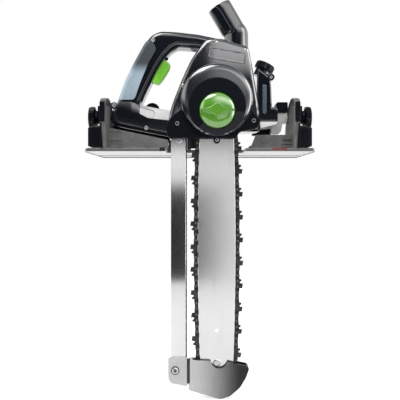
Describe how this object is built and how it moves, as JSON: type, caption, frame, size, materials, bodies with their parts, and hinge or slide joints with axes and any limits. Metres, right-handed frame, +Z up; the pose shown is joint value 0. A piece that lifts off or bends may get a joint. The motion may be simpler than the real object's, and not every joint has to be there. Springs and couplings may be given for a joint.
{
  "type": "portable bar saw",
  "caption": "Hand-held bar saw: a chain round a long guide bar points down through a flat base plate whose cast quadrants let the handle and motor head tilt.",
  "frame": {"origin": "centre of the base plate's flat underside", "axes": "+X right along the plate's long side as seen from the sprocket cover, +Y from the sprocket cover towards the motor, +Z up out of the plate; the bar hangs along -Z"},
  "size_m": [0.3268, 0.2, 0.5662],
  "materials": {
    "housing": "fine grained blue-black moulding",
    "cover": "satin black moulding",
    "grip": "soft grey overmoulding",
    "green": "lime green moulding",
    "steel": "ground steel",
    "dark_steel": "oiled dark steel",
    "aluminium": "bare rolled aluminium",
    "casting": "grey sand-textured die casting",
    "rubber": "black rubber",
    "copper": "copper windings and brush brass",
    "red": "red marker",
    "window": "pale translucent strip"
  },
  "bodies": {
    "base": {"base_plate": "aluminium", "cut_pointer_left": "red", "cut_pointer_right": "red", "segment_left": "casting", "segment_right": "casting", "segment_cover_left": "cover", "segment_cover_right": "cover"},
    "head": {"clamp_shoe_left": "cover", "clamp_shoe_right": "cover", "clamp_stud_left": "steel", "clamp_stud_right": "steel", "guide_bar": "steel", "nose_rivet": "steel", "saw_chain": "dark_steel", "support_strip": "steel", "tip_shoe": "steel", "shoe_screw": "steel", "strip_screw": "steel", "chain_catcher": "rubber", "sprocket_cover": "cover", "bar_stud": "steel", "gear_housing": "housing", "motor_housing": "housing", "motor_end_cap": "housing", "motor_bearing_front": "steel", "motor_bearing_rear": "steel", "field_core": "dark_steel", "brush_holder_low": "copper", "brush_holder_top": "copper", "spindle_bearing": "steel", "handle_front_half": "housing", "handle_rear_half": "housing", "grip_pad_front": "grip", "grip_pad_rear": "grip", "handle_screw_top": "steel", "handle_screw_lug": "steel", "handle_screw_low": "steel", "switch_module": "cover", "right_arm": "aluminium", "stud_block": "housing", "dust_spout": "housing", "oil_tank": "housing", "oil_window": "window"},
    "trigger": {"trigger": "green"},
    "lock_off": {"lock_off_button": "cover"},
    "speed_dial": {"speed_dial": "cover"},
    "cover_knob": {"cover_knob": "green"},
    "clamp_knob_left": {"clamp_knob_left": "cover"},
    "clamp_knob_right": {"clamp_knob_right": "cover"},
    "oil_cap": {"oil_cap": "cover"},
    "armature": {"armature": "copper", "cooling_fan": "cover", "pinion": "dark_steel"},
    "spindle": {"spindle": "steel", "spindle_gear": "dark_steel", "drive_sprocket": "dark_steel"},
    "nose_sprocket": {"nose_sprocket": "dark_steel"}
  },
  "joints": [
    {"name": "head_tilt", "type": "hinge", "parent": "base", "child": "head", "pos_m": [0, -0.0575, 0], "axis": [1, 0, 0], "range_deg": [0, 60]},
    {"name": "trigger_press", "type": "slide", "parent": "head", "child": "trigger", "axis": [-0.8818, 0, 0.4716], "range_m": [0, 0.005], "stiffness_N_per_m": 600, "springref_m": -0.004},
    {"name": "lock_off_press", "type": "slide", "parent": "head", "child": "lock_off", "axis": [-0.8818, 0, 0.4716], "range_m": [0, 0.003], "stiffness_N_per_m": 400, "springref_m": -0.003},
    {"name": "speed_dial_turn", "type": "hinge", "parent": "head", "child": "speed_dial", "pos_m": [-0.06939, -0.025, 0.06304], "axis": [0, 1, 0], "range_deg": [0, 270]},
    {"name": "cover_knob_turn", "type": "hinge", "parent": "head", "child": "cover_knob", "pos_m": [0.0235, -0.09, 0.0554], "axis": [0, 1, 0], "range_deg": [0, 360]},
    {"name": "clamp_left_turn", "type": "hinge", "parent": "head", "child": "clamp_knob_left", "pos_m": [-0.1505, -0.01283, 0.05324], "axis": [1, 0, 0], "range_deg": [0, 180]},
    {"name": "clamp_right_turn", "type": "hinge", "parent": "head", "child": "clamp_knob_right", "pos_m": [0.1505, -0.01283, 0.05324], "axis": [1, 0, 0], "range_deg": [0, 180]},
    {"name": "oil_cap_turn", "type": "hinge", "parent": "head", "child": "oil_cap", "pos_m": [0.0896, -0.0285, 0.11601], "axis": [0.4226, 0, 0.9063], "range_deg": [0, 90]},
    {"name": "armature_spin", "type": "hinge", "parent": "head", "child": "armature", "pos_m": [0.0235, 0, 0.111], "axis": [0, 1, 0], "continuous": true},
    {"name": "spindle_spin", "type": "hinge", "parent": "head", "child": "spindle", "pos_m": [0.0235, -0.05, 0.084], "axis": [0, 1, 0], "continuous": true},
    {"name": "nose_spin", "type": "hinge", "parent": "head", "child": "nose_sprocket", "pos_m": [0.0235, -0.0575, -0.29565], "axis": [0, 1, 0], "continuous": true}
  ],
  "couplings": [
    {"joint": "spindle_spin", "follows": "armature_spin", "ratio": -0.25},
    {"joint": "nose_spin", "follows": "armature_spin", "ratio": -0.175}
  ]
}
